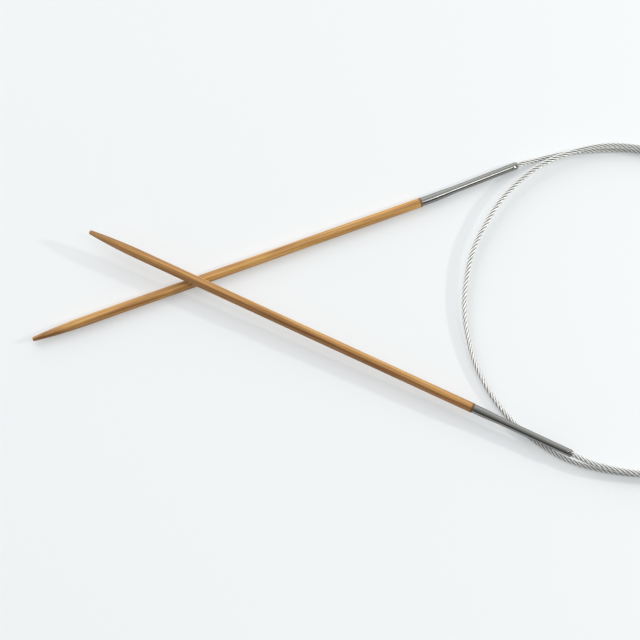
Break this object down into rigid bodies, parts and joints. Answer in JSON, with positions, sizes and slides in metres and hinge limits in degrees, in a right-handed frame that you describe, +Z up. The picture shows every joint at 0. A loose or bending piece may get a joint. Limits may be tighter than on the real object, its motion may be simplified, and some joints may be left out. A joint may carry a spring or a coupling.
{
  "type": "circular knitting needle",
  "caption": "Circular knitting needle: bamboo needles with tapered tips, joined through crimped steel ferrules by a coiled steel wire rope, for knitting in the round.",
  "frame": {"origin": "on the table, under the middle of the box around the two needles and their ferrules", "axes": "+X from the needles' crossed tips towards the rope's loop, +Y across, +Z up from the table"},
  "size_m": [0.1756, 0.0794, 0.0048],
  "materials": {
    "bamboo": "carbonised bamboo, satin varnish",
    "ferrule_steel": "drawn steel tube, polished",
    "glue": "set clear adhesive",
    "rope_steel": "bare stranded steel wire"
  },
  "bodies": {
    "cable": {"cable_loop": "rope_steel"},
    "needle_a": {"bamboo_needle_a": "bamboo", "ferrule_a": "ferrule_steel", "glue_sleeve_a": "glue", "cable_end_a": "rope_steel"},
    "needle_b": {"bamboo_needle_b": "bamboo", "ferrule_b": "ferrule_steel", "glue_sleeve_b": "glue", "cable_end_b": "rope_steel"}
  },
  "joints": [
    {"name": "swing_a", "type": "hinge", "parent": "cable", "child": "needle_a", "pos_m": [0.08984, 0.03589, 0.00062], "axis": [0, 0, -1], "range_deg": [-3, 40], "stiffness_Nm_per_rad": 0.005},
    {"name": "swing_b", "type": "hinge", "parent": "cable", "child": "needle_b", "pos_m": [0.09211, -0.03615, 0.00225], "axis": [0, 0, 1], "range_deg": [-3, 40], "stiffness_Nm_per_rad": 0.005}
  ]
}
